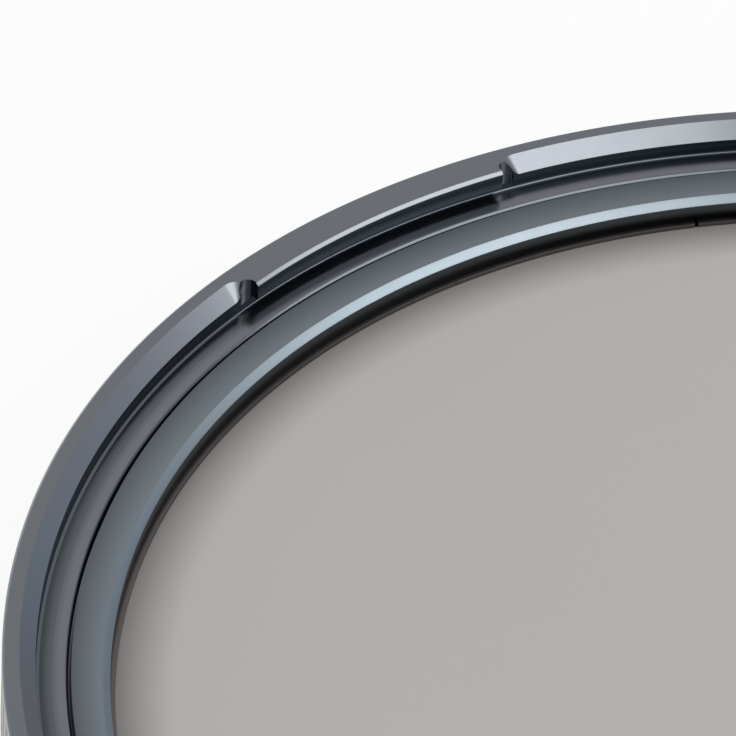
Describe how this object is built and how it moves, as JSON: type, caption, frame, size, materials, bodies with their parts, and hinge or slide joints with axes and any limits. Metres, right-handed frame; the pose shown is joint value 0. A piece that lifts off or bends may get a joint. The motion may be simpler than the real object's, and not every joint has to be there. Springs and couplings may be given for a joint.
{
  "type": "magnetic polarizing filter",
  "caption": "Round magnetic polarizing lens filter: a base ring with a locating spigot and a turning front ring with inward lugs, an undercut recess and a glass cell.",
  "frame": {"origin": "on the ring's axis, in the rear face of the base ring's spigot, on which the filter lies", "axes": "+Z along the optical axis, away from the lens; +Y through the middle of the first lug of the front ring"},
  "size_m": [0.087, 0.087, 0.0068],
  "materials": {
    "ring_anodised": "fine blasted and anodised dark blue-grey",
    "cell_anodised": "turned and anodised dark blue-grey",
    "coated_glass": "polished, coated against reflections",
    "polarizing_film": "neutral grey film, laminated",
    "retarder_film": "clear film, laminated",
    "snap_ring": "dark, satin",
    "spring_wire": "drawn spring wire",
    "magnet": "nickel plated"
  },
  "bodies": {
    "base": {"base_ring": "ring_anodised", "retaining_wire": "spring_wire", "rear_magnet_1": "magnet", "rear_magnet_2": "magnet", "rear_magnet_3": "magnet", "rear_magnet_4": "magnet", "rear_magnet_5": "magnet", "rear_magnet_6": "magnet", "rear_magnet_7": "magnet", "rear_magnet_8": "magnet", "rear_magnet_9": "magnet", "rear_magnet_10": "magnet", "rear_magnet_11": "magnet", "rear_magnet_12": "magnet"},
    "front": {"front_ring": "ring_anodised", "glass_cell": "cell_anodised", "front_glass": "coated_glass", "polarizing_film": "polarizing_film", "quarter_wave_film": "retarder_film", "rear_glass": "coated_glass", "glass_snap_ring": "snap_ring", "front_magnet_1": "magnet", "front_magnet_2": "magnet", "front_magnet_3": "magnet", "front_magnet_4": "magnet", "front_magnet_5": "magnet", "front_magnet_6": "magnet", "front_magnet_7": "magnet", "front_magnet_8": "magnet", "front_magnet_9": "magnet", "front_magnet_10": "magnet", "front_magnet_11": "magnet", "front_magnet_12": "magnet"}
  },
  "joints": [
    {"name": "front_turn", "type": "hinge", "parent": "base", "child": "front", "pos_m": [0, 0, 0.0037], "axis": [0, 0, 1], "continuous": true}
  ]
}
